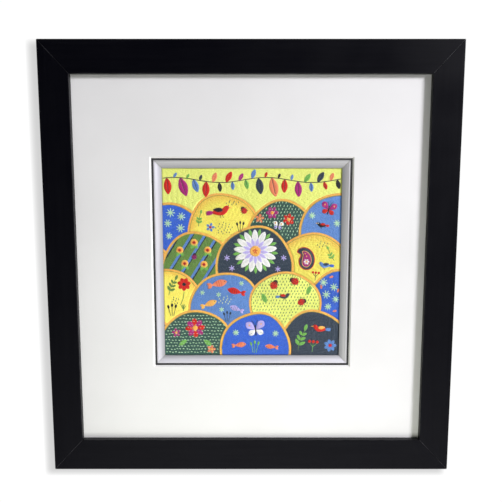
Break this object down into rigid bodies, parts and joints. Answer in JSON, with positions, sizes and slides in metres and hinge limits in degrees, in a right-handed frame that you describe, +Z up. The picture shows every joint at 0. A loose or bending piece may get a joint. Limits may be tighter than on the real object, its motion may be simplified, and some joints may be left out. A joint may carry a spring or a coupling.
{
  "type": "embroidery picture in a mitred picture frame",
  "caption": "Flat embroidered cloth panel inside a silver slip and a bevelled white mat with a narrow black reveal, held in a black mitred frame with a plain backing board.",
  "frame": {"origin": "on the flat back face of the top rail, half way along it and half way down that face, where the picture bears on a wall", "axes": "+Z up; +Y out of the back, towards the wall, so the picture faces -Y; +X to the right as the picture is looked at"},
  "size_m": [0.42, 0.02, 0.445],
  "materials": {
    "frame_lacquer": "satin",
    "white_mat": "matte",
    "black_mat": "matte",
    "silver_slip": "satin",
    "silk_cloth": "satin",
    "fibre_board": "matte"
  },
  "bodies": {
    "root": {"rail_top": "frame_lacquer", "rail_bottom": "frame_lacquer", "rail_left": "frame_lacquer", "rail_right": "frame_lacquer", "top_mat": "white_mat", "under_mat": "black_mat", "slip_top": "silver_slip", "slip_bottom": "silver_slip", "slip_left": "silver_slip", "slip_right": "silver_slip", "embroidered_cloth": "silk_cloth", "backing_board": "fibre_board"}
  },
  "joints": []
}
